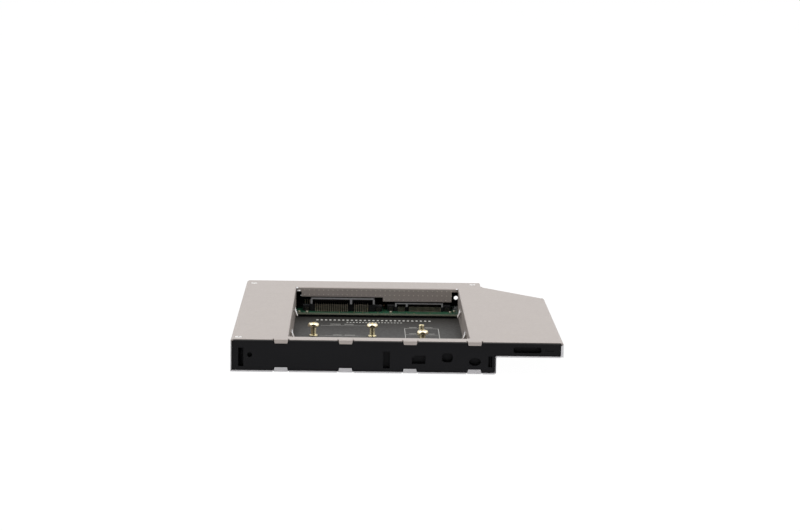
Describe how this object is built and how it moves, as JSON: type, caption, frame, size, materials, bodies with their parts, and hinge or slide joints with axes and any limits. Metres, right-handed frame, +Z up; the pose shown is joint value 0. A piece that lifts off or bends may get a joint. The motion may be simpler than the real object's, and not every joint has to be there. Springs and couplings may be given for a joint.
{
  "type": "laptop drive caddy",
  "caption": "Slim silver caddy for a laptop's optical bay, with a black moulded frame, an open bay for solid-state cards, card sockets at its rear and a plug towards the computer.",
  "frame": {"origin": "middle of the underside of the caddy's outline box, which lies on the table", "axes": "+X to the right seen from the front, towards the raised wing; +Y to the rear, towards the plug; +Z up"},
  "size_m": [0.128, 0.1266, 0.0127],
  "materials": {
    "silver_paint": "fine-grained silver paint, satin",
    "black_plastic": "moulded, matt",
    "board_black": "black solder mask over glass-fibre board, satin",
    "board_green": "green solder mask over glass-fibre board, glossy",
    "connector_black": "moulded, fine grain",
    "contact_gold": "gold flash over copper alloy",
    "clip_tin": "tinned sheet",
    "standoff_brass": "turned, bright",
    "screw_gold": "yellow zinc plate, bright",
    "screw_steel": "nickel plate, bright",
    "chip_black": "moulded epoxy, matt",
    "inductor_grey": "ferrite, matt",
    "capacitor_tan": "sintered, satin",
    "resistor_black": "glazed top",
    "solder_tin": "solder, bright"
  },
  "bodies": {
    "root": {"top_cover": "silver_paint", "bottom_cover": "silver_paint", "moulded_frame": "black_plastic", "mounting_board": "board_black", "adapter_board": "board_green", "msata_socket_housing": "connector_black", "msata_lower_contacts": "contact_gold", "msata_upper_contacts": "contact_gold", "msata_socket_clips": "clip_tin", "m2_socket_housing": "connector_black", "m2_lower_contacts": "contact_gold", "m2_upper_contacts": "contact_gold", "m2_socket_clips": "clip_tin", "sata_plug_housing": "connector_black", "sata_plug_contacts": "contact_gold", "sata_plug_clips": "clip_tin", "msata_standoffs": "standoff_brass", "m2_near_standoff": "standoff_brass", "m2_far_standoff": "standoff_brass", "msata_card_screws": "screw_gold", "m2_card_screw": "screw_gold", "top_cover_screws": "screw_steel", "bottom_cover_screws": "screw_steel", "adapter_board_screws": "screw_steel", "regulator_chip": "chip_black", "switch_chip": "chip_black", "inductor": "inductor_grey", "ceramic_capacitors": "capacitor_tan", "chip_resistors": "resistor_black", "solder_joints": "solder_tin"}
  },
  "joints": []
}
